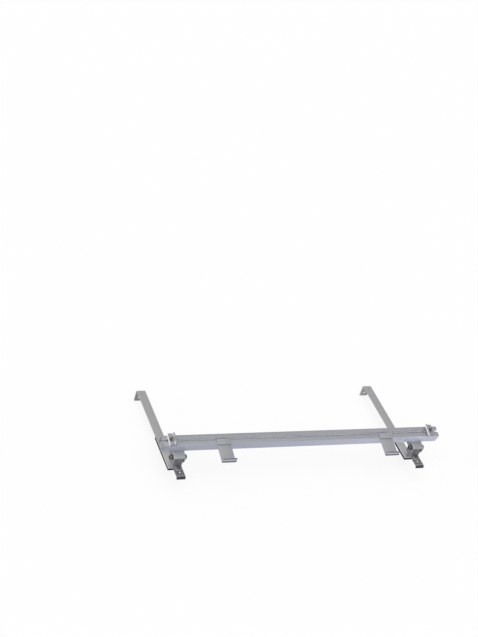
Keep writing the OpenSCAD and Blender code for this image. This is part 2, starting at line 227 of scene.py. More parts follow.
# %% [markdown]
# ## Room
#
# The world is the room round the object. It is white to the camera and in reflections,
# and a mild cool grey as a light. The Standard view keeps white at white, where the
# filmic views would turn it grey.

# %% Room
ROOM_LIGHT = (0.95, 0.97, 1.0, 1.0)
ROOM_STRENGTH = 0.62


def white_room():
    """A world that looks white and lights softly."""
    world = bpy.data.worlds.new("white_room")
    world.use_nodes = True
    tree = world.node_tree
    tree.nodes.clear()
    out = tree.nodes.new("ShaderNodeOutputWorld")
    mix = tree.nodes.new("ShaderNodeMixShader")
    light = tree.nodes.new("ShaderNodeBackground")
    seen = tree.nodes.new("ShaderNodeBackground")
    light.inputs["Color"].default_value = ROOM_LIGHT
    light.inputs["Strength"].default_value = ROOM_STRENGTH
    seen.inputs["Color"].default_value = WHITE
    tree.links.new(seen_or_mirrored(tree), mix.inputs["Fac"])
    tree.links.new(light.outputs[0], mix.inputs[1])
    tree.links.new(seen.outputs[0], mix.inputs[2])
    tree.links.new(mix.outputs[0], out.inputs["Surface"])
    return world


scene.world = white_room()
scene.view_settings.view_transform = "Standard"
print("room light:", ROOM_STRENGTH)

# %% [markdown]
# ## Lamps
#
# Two suns model the metal. The main one comes from above and in front. The other comes
# almost level from the left, and makes the left faces of all parts stand out. A sun gives
# the same light along the whole rail, which a lamp close by wouldn't do, and a wide
# spread keeps its shadows soft.

# %% Lamps


def soft_sun(name, comes_from, strength, spread, colour):
    """A sun lamp from one direction, with its spread in degrees."""
    data = bpy.data.lights.new(name, "SUN")
    data.energy = strength
    data.angle = math.radians(spread)
    data.color = colour
    lamp = bpy.data.objects.new(name, data)
    scene.collection.objects.link(lamp)
    lamp.rotation_euler = (-Vector(comes_from)).to_track_quat("-Z", "Y").to_euler()
    print(name, "strength", strength, "spread", spread)


soft_sun("key_light", comes_from=(-0.25, -0.42, 0.87), strength=1.2, spread=60.0, colour=(1.0, 1.0, 0.99))
soft_sun("left_light", comes_from=(-1.0, -0.12, 0.12), strength=1.5, spread=30.0, colour=(1.0, 1.0, 1.0))

# %% [markdown]
# ## Finishes shared by several parts
#
# Bare metal parts differ less in colour than in how they were made. Each effect below is
# one node group with named inputs, so every material can use it at its own size and
# strength. A group puts out a tone round zero, which makes a surface a little lighter and
# darker, and some put out a height for bumps.

# %% Group helpers


def new_group(name, inputs, outputs):
    """A node group with one Vector input, float inputs (name, default) and named outputs."""
    group = bpy.data.node_groups.new(name, "ShaderNodeTree")
    group.interface.new_socket("Vector", in_out="INPUT", socket_type="NodeSocketVector")
    for label, value in inputs:
        socket = group.interface.new_socket(label, in_out="INPUT", socket_type="NodeSocketFloat")
        socket.default_value = value
    for label in outputs:
        group.interface.new_socket(label, in_out="OUTPUT", socket_type="NodeSocketFloat")
    given = group.nodes.new("NodeGroupInput")
    result = group.nodes.new("NodeGroupOutput")
    return group, given, result


def put_out_tone(group, given, result, pattern):
    """Shift a 0 to 1 pattern to lie round zero, scale it by Depth and put it out as Tone."""
    centred = math_node(group, "SUBTRACT", pattern, 0.5)
    tone = math_node(group, "MULTIPLY", centred, given.outputs["Depth"])
    group.links.new(tone, result.inputs["Tone"])


# %% [markdown]
# ## Drawn lines
#
# A rail is pressed through a die and a sheet is rolled, and both keep fine lines along
# the way they moved. Noise that is stretched far in one direction gives such lines. A
# wave texture would be too regular.

# %% Drawn lines
drawn, given, result = new_group(
    "drawn_lines", [("Along", 6.0), ("Across", 900.0), ("Depth", 1.0)], ["Tone", "Height"]
)
stretch = drawn.nodes.new("ShaderNodeCombineXYZ")
drawn.links.new(given.outputs["Along"], stretch.inputs[0])
drawn.links.new(given.outputs["Across"], stretch.inputs[1])
drawn.links.new(given.outputs["Across"], stretch.inputs[2])
scaled = drawn.nodes.new("ShaderNodeVectorMath")
scaled.operation = "MULTIPLY"
drawn.links.new(given.outputs["Vector"], scaled.inputs[0])
drawn.links.new(stretch.outputs[0], scaled.inputs[1])
lines = drawn.nodes.new("ShaderNodeTexNoise")
lines.inputs["Scale"].default_value = 1.0
lines.inputs["Detail"].default_value = 3.0
drawn.links.new(scaled.outputs[0], lines.inputs["Vector"])
put_out_tone(drawn, given, result, lines.outputs["Fac"])
drawn.links.new(lines.outputs["Fac"], result.inputs["Height"])
print(drawn.name, "has", len(drawn.nodes), "nodes")

# %% [markdown]
# ## Zinc crystals
#
# Steel that was dipped in molten zinc shows flat crystals, each a slightly different
# grey. Voronoi cells have that shape, and their random colour gives each its own tone.

# %% Zinc crystals
spangle, given, result = new_group("zinc_crystals", [("Size", 90.0), ("Depth", 1.0)], ["Tone"])
cells = spangle.nodes.new("ShaderNodeTexVoronoi")
cells.feature = "F1"
spangle.links.new(given.outputs["Vector"], cells.inputs["Vector"])
spangle.links.new(given.outputs["Size"], cells.inputs["Scale"])
grey = spangle.nodes.new("ShaderNodeSeparateColor")
spangle.links.new(cells.outputs["Color"], grey.inputs[0])
put_out_tone(spangle, given, result, grey.outputs[0])
print(spangle.name, "has", len(spangle.nodes), "nodes")

# %% [markdown]
# ## Handling marks
#
# Hands, gloves and packing leave soft cloudy patches on all metal. They are much larger
# than the grain, so they are a noise of their own with a low scale.

# %% Handling marks
clouds, given, result = new_group("handling_marks", [("Size", 14.0), ("Depth", 1.0)], ["Tone"])
smear = clouds.nodes.new("ShaderNodeTexNoise")
smear.inputs["Detail"].default_value = 4.0
smear.inputs["Roughness"].default_value = 0.6
clouds.links.new(given.outputs["Vector"], smear.inputs["Vector"])
clouds.links.new(given.outputs["Size"], smear.inputs["Scale"])
put_out_tone(clouds, given, result, smear.outputs["Fac"])
print(clouds.name, "has", len(clouds.nodes), "nodes")

# %% [markdown]
# ## Fine grain
#
# Forged, blasted and moulded surfaces are evenly rough. A noise with spots of one or two
# millimetres gives that, both as a tone and as a height.

# %% Fine grain
grain, given, result = new_group("fine_grain", [("Size", 1400.0), ("Depth", 1.0)], ["Tone", "Height"])
speck = grain.nodes.new("ShaderNodeTexNoise")
speck.inputs["Detail"].default_value = 2.0
grain.links.new(given.outputs["Vector"], speck.inputs["Vector"])
grain.links.new(given.outputs["Size"], speck.inputs["Scale"])
put_out_tone(grain, given, result, speck.outputs["Fac"])
grain.links.new(speck.outputs["Fac"], result.inputs["Height"])
print(grain.name, "has", len(grain.nodes), "nodes")

# %% [markdown]
# ## One recipe for all finishes
#
# Every finish here is a Principled shader whose colour is one grey, moved a little by the
# effect groups. The same tones move the roughness, which is what the eye reads as real
# metal. A faint bump comes from the lines or the grain. Some areas of a part get a colour
# of their own, most of them painted light and shade, and each is laid over the one before
# by a mask that is 0 or 1 or between.

# %% Effects


def effect(group, colour, rough, **values):
    """A finish group with its own values, and how far its tone moves colour and roughness."""
    return {"group": group, "colour": colour, "rough": rough, "values": values}


def place_effects(tree, where, effects, roughness):
    """Add the groups to a material. Gives them back with a brightness and a roughness."""
    placed = []
    brightness = 1.0
    for item in effects:
        node = tree.nodes.new("ShaderNodeGroup")
        node.node_tree = item["group"]
        for label, value in item["values"].items():
            node.inputs[label].default_value = value
        tree.links.new(where.outputs["Object"], node.inputs["Vector"])
        placed.append(node)
        tint = math_node(tree, "MULTIPLY", node.outputs["Tone"], item["colour"])
        brightness = math_node(tree, "ADD", tint, brightness)
        dull = math_node(tree, "MULTIPLY", node.outputs["Tone"], item["rough"])
        roughness = math_node(tree, "ADD", dull, roughness)
    return placed, brightness, roughness


# %% Colours of areas
# A Mix node has its sockets once for each kind of data. These are the ones for colours.
MIX_BELOW = 6
MIX_ABOVE = 7
MIX_RESULT = 2


def lay_areas(tree, where, colour, areas):
    """Lay each area's colour over the main one. areas: (function that makes a mask, colour)."""
    below = None
    for make_mask, area_colour in areas:
        blend = tree.nodes.new("ShaderNodeMix")
        blend.data_type = "RGBA"
        blend.inputs[MIX_BELOW].default_value = (*colour, 1.0)
        blend.inputs[MIX_ABOVE].default_value = (*area_colour, 1.0)
        if below:
            tree.links.new(below, blend.inputs[MIX_BELOW])
        tree.links.new(make_mask(tree, where), blend.inputs["Factor"])
        below = blend.outputs[MIX_RESULT]
    return below


# %% The recipe


def finish(name, colour, metallic, roughness, effects, areas=(),
           bump_from=0, bump=0.0, bump_mm=0.0, shine=0.5):
    """A material. bump_from: which effect gives the height; bump_mm: how high it stands."""
    material = bpy.data.materials.new(name)
    material.use_nodes = True
    tree = material.node_tree
    shader = tree.nodes["Principled BSDF"]
    shader.inputs["Metallic"].default_value = metallic
    shader.inputs["Specular IOR Level"].default_value = shine
    where = tree.nodes.new("ShaderNodeTexCoord")
    placed, brightness, rough = place_effects(tree, where, effects, roughness)
    paint = tree.nodes.new("ShaderNodeVectorMath")
    paint.operation = "SCALE"
    paint.inputs[0].default_value = colour
    painted = lay_areas(tree, where, colour, areas)
    if painted:
        tree.links.new(painted, paint.inputs[0])
    tree.links.new(brightness, paint.inputs["Scale"])
    tree.links.new(paint.outputs[0], shader.inputs["Base Color"])
    tree.links.new(rough, shader.inputs["Roughness"])
    if bump_mm:
        relief = tree.nodes.new("ShaderNodeBump")
        relief.inputs["Strength"].default_value = bump
        relief.inputs["Distance"].default_value = bump_mm / 1000.0
        tree.links.new(placed[bump_from].outputs["Height"], relief.inputs["Height"])
        tree.links.new(relief.outputs[0], shader.inputs["Normal"])
    print(name, "has", len(placed), "effects and", len(areas), "areas")
    return material


# %% [markdown]
# ## Masks for faces and places
#
# A mask says where a colour lies. One from the surface's own direction finds a face, one
# from limits each way finds a block, and a fading one joins two tones softly. A mask here
# is a function that builds its nodes when it is called, so that masks can be combined
# first and built later, inside the material that needs them.

# %% Masks by direction
X_AXIS = 0
Y_AXIS = 1
Z_AXIS = 2


def facing(axis, sign, limit=0.9):
    """A mask that is 1 on faces whose own direction is close to one axis."""

    def make(tree, where):
        parts = tree.nodes.new("ShaderNodeSeparateXYZ")
        tree.links.new(where.outputs["Normal"], parts.inputs[0])
        towards = math_node(tree, "MULTIPLY", parts.outputs[axis], sign)
        return math_node(tree, "GREATER_THAN", towards, limit)

    return make


faces_left = facing(X_AXIS, sign=-1.0)
faces_front = facing(Y_AXIS, sign=-1.0)

# %% Masks by place


def in_range(tree, value, low, high):
    """1 where a value lies between two limits."""
    over = math_node(tree, "GREATER_THAN", value, low)
    under = math_node(tree, "LESS_THAN", value, high)
    return math_node(tree, "MULTIPLY", over, under)


def in_block(y_range, z_range, leaning=True):
    """A mask that is 1 in a block along X, given in the leaning frame or in the object's."""

    def make(tree, where):
        place = where.outputs["Object"]
        if leaning:
            turn = tree.nodes.new("ShaderNodeMapping")
            turn.inputs["Rotation"].default_value = (-LEAN, 0.0, 0.0)
            turn.inputs["Location"].default_value = -(Matrix.Rotation(-LEAN, 3, "X") @ PIVOT)
            tree.links.new(place, turn.inputs["Vector"])
            place = turn.outputs[0]
        parts = tree.nodes.new("ShaderNodeSeparateXYZ")
        tree.links.new(place, parts.inputs[0])
        across = in_range(tree, parts.outputs[Y_AXIS], *y_range)
        height = in_range(tree, parts.outputs[Z_AXIS], *z_range)
        return math_node(tree, "MULTIPLY", across, height)

    return make


# %% Fading and combined masks


def fading(axis, none_at, full_at):
    """A mask that rises evenly from 0 to 1 between two places along one axis."""

    def make(tree, where):
        parts = tree.nodes.new("ShaderNodeSeparateXYZ")
        tree.links.new(where.outputs["Object"], parts.inputs[0])
        ramp = tree.nodes.new("ShaderNodeMapRange")
        ramp.inputs["From Min"].default_value = none_at
        ramp.inputs["From Max"].default_value = full_at
        tree.links.new(parts.outputs[axis], ramp.inputs["Value"])
        return ramp.outputs["Result"]

    return make


def both(first, second):
    """A mask where two masks overlap."""

    def make(tree, where):
        return math_node(tree, "MULTIPLY", first(tree, where), second(tree, where))

    return make


def stretch_of_x(middle, rise, fall):
    """A mask along X that rises over one short stretch and falls over another."""
    rising = fading(X_AXIS, middle + rise[0], middle + rise[1])
    falling = fading(X_AXIS, middle + fall[1], middle + fall[0])
    return both(rising, falling)


# %% [markdown]
# ## The rail's finish
#
# The rail is extruded aluminium with a clear anodised skin, and it is slightly blue. Its
# long front carries a painted bluish reflection and a painted highlight that grows brighter
# towards the right, and painted light above the saddles, where they shade it. Painted
# light also fills the rear of its slot and the inside of its left end, which their walls
# shade, and painted shade darkens its left end face and the front near that end. The rear
# of its top is darker towards the left. Painting these tones by place costs a few masks,
# but one lamp for each would spoil the even light on all other parts.

# %% Places on the rail
# Painted light goes into the rear of the slot, which its lips shade.
slot_rear = in_block(
    y_range=(RAIL_MID + 0.0048, RAIL_MID + 0.0105),
    z_range=(rail_high.z - 0.0115, rail_high.z - 0.0002),
)
top_rear = in_block(
    y_range=(RAIL_MID + 0.0045, rail_high.y + 0.0015),
    z_range=(rail_high.z - 0.0004, rail_high.z + 0.0010),
)
# Painted light goes inside the left end, which its walls shade.
rail_inside = in_block(
    y_range=(rail_low.y + 0.0015, rail_high.y - 0.0015),
    z_range=(rail_low.z + 0.0015, rail_high.z - 0.0010),
)
towards_right = fading(X_AXIS, none_at=-0.25, full_at=0.60)
towards_left = fading(X_AXIS, none_at=0.20, full_at=-0.30)
near_left_end = fading(X_AXIS, none_at=rail_low.x + 0.032, full_at=rail_low.x + 0.007)
in_left_end = fading(X_AXIS, none_at=rail_low.x + 0.072, full_at=rail_low.x + 0.022)
# Painted light where the saddles shade the rail's front.
above_right_saddle = stretch_of_x(HOOK_X, rise=(-0.092, -0.074), fall=(-0.006, 0.012))
above_left_saddle = stretch_of_x(-HOOK_X, rise=(-0.042, -0.025), fall=(0.020, 0.032))

# %% The rail's finish
rail_alu = finish(
    "anodised_rail", colour=(0.33, 0.332, 0.352), metallic=0.45, roughness=0.42,
    effects=[
        effect(drawn, colour=0.10, rough=0.16, Along=3.0, Across=700.0),
        effect(clouds, colour=0.05, rough=0.10, Size=9.0),
    ],
    areas=[
        # Painted bluish reflection on the front.
        (faces_front, (0.37, 0.38, 0.46)),
        # Painted highlight on the front, brighter towards the right.
        (both(faces_front, towards_right), (0.52, 0.53, 0.65)),
        # Painted light where the right saddle shades the front.
        (both(faces_front, above_right_saddle), (0.67, 0.68, 0.83)),
        # Painted light where the left saddle shades the front.
        (both(faces_front, above_left_saddle), (0.43, 0.44, 0.53)),
        # Painted shade on the front near the left end.
        (both(faces_front, near_left_end), (0.28, 0.29, 0.345)),
        (both(top_rear, towards_left), (0.28, 0.281, 0.298)),
        # Painted light in the rear of the slot, which its lips shade.
        (slot_rear, (0.92, 0.92, 0.99)),
        # Painted light inside the left end, which its walls shade.
        (both(rail_inside, in_left_end), (0.55, 0.55, 0.58)),
        # Painted shade on the left end face.
        (faces_left, (0.22, 0.22, 0.25)),
    ],
    bump=0.25, bump_mm=0.03,
)

# %% [markdown]
# ## The stops' finish
#
# The stops are bent from rolled sheet, with its lines across the rail. Their lips are
# folded twice. Painted shade makes the front dark, a painted highlight makes the fold above
# it light and painted shade makes the top a middle grey. Each of the three is a block across the lip.

# %% The stops' finish
FOLD_BOTTOM = stop_high.z - 0.0098
FOLD_TOP = stop_high.z - 0.0058
lip_front = in_block(
    y_range=(stop_low.y - 0.0020, stop_low.y + 0.0045),
    z_range=(stop_low.z - 0.0050, FOLD_BOTTOM),
)
lip_fold = in_block(
    y_range=(stop_low.y - 0.0020, stop_low.y + 0.0075),
    z_range=(FOLD_BOTTOM, FOLD_TOP),
)
lip_edge = in_block(
    y_range=(stop_low.y + 0.0025, stop_low.y + 0.0075),
    z_range=(FOLD_TOP, stop_high.z + 0.0010),
)
sheet_alu = finish(
    "sheet_aluminium", colour=(0.33, 0.33, 0.345), metallic=0.40, roughness=0.45,
    effects=[
        effect(drawn, colour=0.08, rough=0.14, Along=700.0, Across=9.0),
        effect(clouds, colour=0.06, rough=0.12, Size=16.0),
    ],
    areas=[
        # Painted shade on the lip's front.
        (lip_front, (0.10, 0.10, 0.115)),
        # Painted highlight on the fold.
        (lip_fold, (0.44, 0.44, 0.50)),
        # Painted shade on the top of the lip.
        (lip_edge, (0.20, 0.20, 0.24)),
    ],
)

# %% [markdown]
# ## The finish of clamps and saddles
#
# Both are cut from long aluminium sections. The clamps' left faces carry a painted
# highlight, and the saddles' left faces carry painted shade, darker than the rest of them.
# The saddles look blasted, so they get the grain and no lines.

# %% The finish of clamps and saddles
clamp_alu = finish(
    "clamp_aluminium", colour=(0.29, 0.29, 0.30), metallic=0.40, roughness=0.40,
    effects=[
        effect(drawn, colour=0.06, rough=0.10, Along=500.0, Across=500.0),
        effect(clouds, colour=0.06, rough=0.12, Size=30.0),
    ],
    # Painted highlight on the clamps' left faces.
    areas=[(faces_left, (0.95, 0.95, 0.95))],
)
saddle_alu = finish(
    "saddle_aluminium", colour=(0.325, 0.327, 0.34), metallic=0.42, roughness=0.44,
    effects=[
        effect(grain, colour=0.08, rough=0.12, Size=900.0),
        effect(clouds, colour=0.08, rough=0.12, Size=22.0),
    ],
    # Painted shade on the saddles' left faces.
    areas=[(faces_left, (0.19, 0.19, 0.20))],
    bump=0.2, bump_mm=0.02,
)

# %% [markdown]
# ## The straps' finish
#
# Straps like these are dipped in zinc after bending, so they show crystals. Painted
# light makes them paler towards their lower end, where the rail shades them, and the lip of
# the left one is darker. The grain is there mostly for its bump.

# %% The straps' finish
# Painted light towards the straps' lower ends, where the rail shades them.
lower_end = fading(Y_AXIS, none_at=-0.33, full_at=-0.40)
on_left_hook = fading(X_AXIS, none_at=-0.30, full_at=-0.40)
strap_lip = in_block(
    y_range=(-0.012, strap_high.y + 0.002),
    z_range=(strap_low.z - 0.001, STRAP_TOP - 0.009),
    leaning=False,
)
galvanised = finish(
    "galvanised_strap", colour=(0.345, 0.345, 0.35), metallic=0.45, roughness=0.46,
    effects=[
        effect(spangle, colour=0.07, rough=0.16, Size=85.0),
        effect(clouds, colour=0.08, rough=0.10, Size=7.0),
        effect(grain, colour=0.04, rough=0.06, Size=600.0),
    ],
    areas=[
        # Painted light on the lower end.
        (lower_end, (0.50, 0.50, 0.51)),
        (both(strap_lip, on_left_hook), (0.25, 0.25, 0.26)),
    ],
    bump_from=2, bump=0.2, bump_mm=0.03,
)

# %% [markdown]
# ## The feet's finish
#
# The feet are dark forged steel with the coarsest grain of all parts. Their turned-down
# noses are painted nearly black as shade, behind a painted highlight along the bend.

# %% The feet's finish
NOSE_BACK = foot_low.y + 0.005
# A painted highlight along the bend of each nose.
bend_highlight = in_block(
    y_range=(NOSE_BACK, NOSE_BACK + 0.0055),
    z_range=(ARM_TOP - 0.0025, ARM_TOP + 0.0020),
    leaning=False,
)
# Painted shade that makes the nose nearly black.
nose = in_block(
    y_range=(foot_low.y - 0.006, NOSE_BACK),
    z_range=(ARM_TOP - 0.0190, ARM_TOP + 0.0020),
    leaning=False,
)
dark_foot = finish(
    "dark_forging", colour=(0.17, 0.17, 0.185), metallic=0.35, roughness=0.5,
    effects=[
        effect(grain, colour=0.16, rough=0.16, Size=520.0),
        effect(clouds, colour=0.16, rough=0.14, Size=26.0),
    ],
    # A painted highlight on the bend, and painted shade on the nose.
    areas=[(bend_highlight, (0.25, 0.25, 0.27)), (nose, (0.035, 0.035, 0.04))],
    bump=0.45, bump_mm=0.09,
)

# %% [markdown]
# ## The finish of bolts
#
# Bolts come in three greys: dark ones in the arms and saddles, nearly black ones in the
# pivots, and lighter socket screws in the clamps. They differ in a few values only, so
# one function makes all. Painted shade makes the faces to the left darkest. The socket
# screws' limit is lower, so that more of their round heads gets painted shade on that side.

# %% The finish of bolts


def bolt_finish(name, colour, dark, metallic, roughness, marks, mark_rough, limit=0.9, shine=0.5):
    """A steel for bolts with painted shade on the faces to the left."""
    return finish(
        name, colour, metallic, roughness,
        effects=[
            effect(grain, colour=0.12, rough=0.14, Size=1300.0),
            effect(clouds, colour=marks, rough=mark_rough, Size=60.0),
        ],
        # Painted shade on the faces to the left.
        areas=[(facing(X_AXIS, sign=-1.0, limit=limit), dark)],
        bump=0.25, bump_mm=0.03, shine=shine,
    )


dark_bolt = bolt_finish(
    "dark_bolt_steel", colour=(0.15, 0.15, 0.16), dark=(0.02, 0.02, 0.022),
    metallic=0.5, roughness=0.38, marks=0.18, mark_rough=0.16,
)
pivot_bolt = bolt_finish(
    "blackened_bolt_steel", colour=(0.055, 0.055, 0.06), dark=(0.015, 0.015, 0.017),
    metallic=0.4, roughness=0.45, marks=0.18, mark_rough=0.16, shine=0.3,
)
socket_bolt = bolt_finish(
    "socket_bolt_steel", colour=(0.27, 0.27, 0.28), dark=(0.03, 0.03, 0.033),
    metallic=0.5, roughness=0.34, marks=0.16, mark_rough=0.14, limit=0.35,
)

# %% [markdown]
# ## The finish of washers and pads
#
# The zinc-plated sleeves, slot nuts and saddle washers are the brightest small parts, and
# the washers on the feet's arms are duller. The pads are black rubber with a coarse skin
# and hardly any shine.

# %% The finish of washers and pads


def zinc_finish(name, colour, roughness):
    """Zinc plate with fine grain and a few marks."""
    return finish(
        name, colour, metallic=0.45, roughness=roughness,
        effects=[
            effect(grain, colour=0.08, rough=0.12, Size=1100.0),
            effect(clouds, colour=0.12, rough=0.14, Size=50.0),
        ],
    )


zinc_plate = zinc_finish("bright_zinc", (0.80, 0.80, 0.81), 0.34)
dull_zinc = zinc_finish("dull_zinc", (0.55, 0.55, 0.56), 0.40)
pad_rubber = finish(
    "black_rubber", colour=(0.003, 0.003, 0.003), metallic=0.0, roughness=0.95,
    effects=[
        effect(grain, colour=0.5, rough=0.10, Size=1500.0),
        effect(clouds, colour=0.5, rough=0.10, Size=30.0),
    ],
    bump=0.5, bump_mm=0.08, shine=0.05,
)

# %% [markdown]
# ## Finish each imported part
#
# The parts' names say what they are, so the start of a name is enough to choose a finish.
# Longer starts come first, because the first one that fits is taken.

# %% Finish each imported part
finish_of = {
    "strap_": galvanised, "pad_": pad_rubber, "foot_": dark_foot,
    "arm_washers": dull_zinc, "arm_": dark_bolt,
    "pivot_sleeves": zinc_plate, "pivot_nuts": dark_bolt, "pivot_": pivot_bolt,
    "saddle_washers": zinc_plate, "saddle_bolts": dark_bolt, "saddle_nuts": dark_bolt,
    "saddle_": saddle_alu, "rail": rail_alu,
    "clamp_bolt": socket_bolt, "clamp_washer": socket_bolt, "slot_nut": zinc_plate,
    "clamp_": clamp_alu, "stop_": sheet_alu,
}


def finish_for(name):
    """The finish of the first entry that starts the part's name."""
    return next(material for words, material in finish_of.items() if name.startswith(words))


for name, part in nodes.items():
    part.data.materials.clear()
    part.data.materials.append(finish_for(name))
print("finished parts:", len(nodes))

# %% [markdown]
# ## Working on a piece by hand
#
# The next pieces are made as one would at the screen: go into edit mode, choose faces or
# edges, and use a tool on them. A script can't click, so it chooses by place and by
# direction. These few helpers do that.

# %% Choosing a piece and its points


def work_on(piece):
    """Select one piece alone and make it active."""
    deselect_all()
    piece.select_set(True)
    bpy.context.view_layer.objects.active = piece


def choose_faces(piece, rule):
    """In edit mode: select the faces whose middle and direction fit a rule, and count them."""
    bpy.ops.mesh.select_mode(type="FACE")
    bpy.ops.mesh.select_all(action="DESELECT")
    bpy.ops.object.mode_set(mode="OBJECT")
    for face in piece.data.polygons:
        face.select = bool(rule(face.center, face.normal))
    chosen = sum(face.select for face in piece.data.polygons)
    bpy.ops.object.mode_set(mode="EDIT")
    return chosen


def choose_points(piece, rule):
    """In edit mode: select the points that fit a rule."""
    bpy.ops.mesh.select_mode(type="VERT")
    bpy.ops.mesh.select_all(action="DESELECT")
    bpy.ops.object.mode_set(mode="OBJECT")
    for point in piece.data.vertices:
        point.select = bool(rule(point.co))
    bpy.ops.object.mode_set(mode="EDIT")


# %% Cutting, rounding and copying
SMOOTH_BELOW = math.radians(35.0)


def fix_place(piece, name):
    """Put the piece's place, turn and size into its mesh, and name it."""
    work_on(piece)
    bpy.ops.object.transform_apply(location=True, rotation=True, scale=True)
    piece.name = name
    piece.data.name = name
    return piece


def cut_across(place, direction):
    """In edit mode: cut the whole mesh along a plane."""
    bpy.ops.mesh.select_all(action="SELECT")
    bpy.ops.mesh.bisect(plane_co=place, plane_no=direction)


def round_edges(piece, width, angle):
    """Round every edge sharper than an angle in degrees, then shade what is left smoothly."""
    work_on(piece)
    bevel = piece.modifiers.new("round_edges", "BEVEL")
    bevel.width = width
    bevel.segments = 2
    bevel.limit_method = "ANGLE"
    bevel.angle_limit = math.radians(angle)
    bpy.ops.object.modifier_apply(modifier=bevel.name)
    bpy.ops.object.shade_smooth_by_angle(angle=SMOOTH_BELOW)


def copy_at(piece, name, shift):
    """A copy with its own mesh, moved by a shift."""
    twin = piece.copy()
    twin.data = piece.data.copy()
    twin.name = name
    twin.data.name = name
    scene.collection.objects.link(twin)
    twin.data.transform(Matrix.Translation(shift))
    return twin


# %% [markdown]
# ## Eased edges on the metal parts
#
# No real edge is perfectly sharp. Sawn and pressed edges are broken with a file or a
# tumbler, and that thin rounding catches the light and tells the eye how thick the metal
# is. Each part's mesh is copied and its loose triangles are merged. Limited dissolve then
# joins the triangles of each flat face, so that the bevel only finds real edges.

# %% Eased copies
MERGE_WITHIN = 0.000002
FLAT_WITHIN = math.radians(0.5)


def eased(node_name, body, width):
    """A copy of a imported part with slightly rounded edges, which takes the part's place."""
    piece = bpy.data.objects.new("eased_" + node_name, nodes[node_name].data.copy())
    scene.collection.objects.link(piece)
    work_on(piece)
    bpy.ops.object.mode_set(mode="EDIT")
    bpy.ops.mesh.select_all(action="SELECT")
    bpy.ops.mesh.remove_doubles(threshold=MERGE_WITHIN)
    bpy.ops.mesh.dissolve_limited(angle_limit=FLAT_WITHIN)
    bpy.ops.object.mode_set(mode="OBJECT")
    round_edges(piece, width, angle=32.0)
    piece.data.materials.clear()
    piece.data.materials.append(finish_for(node_name))
    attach(piece, body)
    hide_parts(node_name)
    print(piece.name, "has", len(piece.data.polygons), "faces")


eased("rail", "rail", width=0.0003)
for side in ("left", "right"):
    eased("strap_" + side, "hooks", width=0.0006)
    eased("foot_" + side, "hooks", width=0.0006)
    eased("saddle_" + side, "rail", width=0.0005)
    eased("clamp_" + side, "clamp_" + side, width=0.0004)
    eased("stop_" + side, "stop_" + side, width=0.0004)

# %% [markdown]
# ## Rubber pads
#
# A strip of moulded rubber keeps each steel strap off the tile. It starts as a block of
# the right size. Cuts across and along it mark out a row of narrow fields on the
# underside, and those are pushed in, which leaves the ribs that let water run off.

# %% Rubber pads
RIBS = 12
PAD_BORDER = 0.0035
GROOVE_FROM = 0.28
GROOVE_TO = 0.72
GROOVE_DEPTH = 0.0025


def rubber_pad(side):
    """A pad with grooves across its underside, in place of the plain one."""
    low, high = corners("pad_" + side)
    deselect_all()
    bpy.ops.mesh.primitive_cube_add(size=1.0, location=(low + high) / 2, scale=high - low)
    pad = fix_place(bpy.context.object, "rubber_pad_" + side)
    bpy.ops.object.mode_set(mode="EDIT")
    first = low.y + PAD_BORDER
    pitch = (high.y - low.y - 2 * PAD_BORDER) / RIBS
    for x in (low.x + PAD_BORDER, high.x - PAD_BORDER):
        cut_across((x, 0.0, 0.0), (1.0, 0.0, 0.0))
    for rib in range(RIBS):
        for share in (GROOVE_FROM, GROOVE_TO):
            cut_across((0.0, first + (rib + share) * pitch, 0.0), (0.0, 1.0, 0.0))

    def is_groove(middle, direction):
        underneath = direction.z < -0.9
        inside = low.x + PAD_BORDER < middle.x < high.x - PAD_BORDER
        along = (middle.y - first) / pitch % 1.0
        return underneath and inside and GROOVE_FROM < along < GROOVE_TO

    grooves = choose_faces(pad, is_groove)
    bpy.ops.mesh.extrude_region_move(TRANSFORM_OT_translate={"value": (0.0, 0.0, GROOVE_DEPTH)})
    bpy.ops.object.mode_set(mode="OBJECT")
    round_edges(pad, width=0.0007, angle=40.0)
    pad.data.materials.append(pad_rubber)
    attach(pad, "hooks")
    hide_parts("pad_" + side)
    print(pad.name, "has", grooves, "grooves")


for side in ("left", "right"):
    rubber_pad(side)

# %% [markdown]
# ## Eased bolts and nuts
#
# Hexagons are forged and their corners are never sharp. The same easing as above is used
# here too. The round shanks keep their facets, because the facets meet at a smaller angle
# than the bevel looks for.

# %% Eased bolts and nuts
for side in ("left", "right"):
    eased("clamp_bolt_" + side, "clamp_" + side, width=0.0005)
for node_name in ("arm_bolts", "arm_nuts", "pivot_bolts", "pivot_nuts"):
    eased(node_name, "hooks", width=0.0006)
eased("saddle_nuts", "rail", width=0.0006)

# %% [markdown]
# ## Weld beads
#
# The foot's leaning rib is welded to the strap below it and to the arm above it. A bead
# is laid down in small overlapping puddles, and each one leaves a ripple. The bead starts
# as a cylinder that is cut into rings. Every second ring is drawn in, the two end rings
# are drawn in most, and subdivision turns the steps into soft ripples.

# %% One weld bead
BEAD_SIDES = 12
RINGS = 10
RING_WITHIN = 0.00001
VALLEY = 0.84
BEAD_END = 0.45

weld_metal = finish(
    "weld_metal", colour=(0.24, 0.235, 0.23), metallic=0.6, roughness=0.36,
    effects=[
        effect(grain, colour=0.20, rough=0.20, Size=900.0),
        effect(clouds, colour=0.30, rough=0.16, Size=90.0),
    ],
    bump=0.3, bump_mm=0.04,
)


def draw_in(piece, y, share, middle):
    """In edit mode: make the ring at one place along Y narrower."""
    choose_points(piece, lambda point: abs(point.y - y) < RING_WITHIN)
    bpy.ops.transform.resize(value=(share, 1.0, share), center_override=middle)


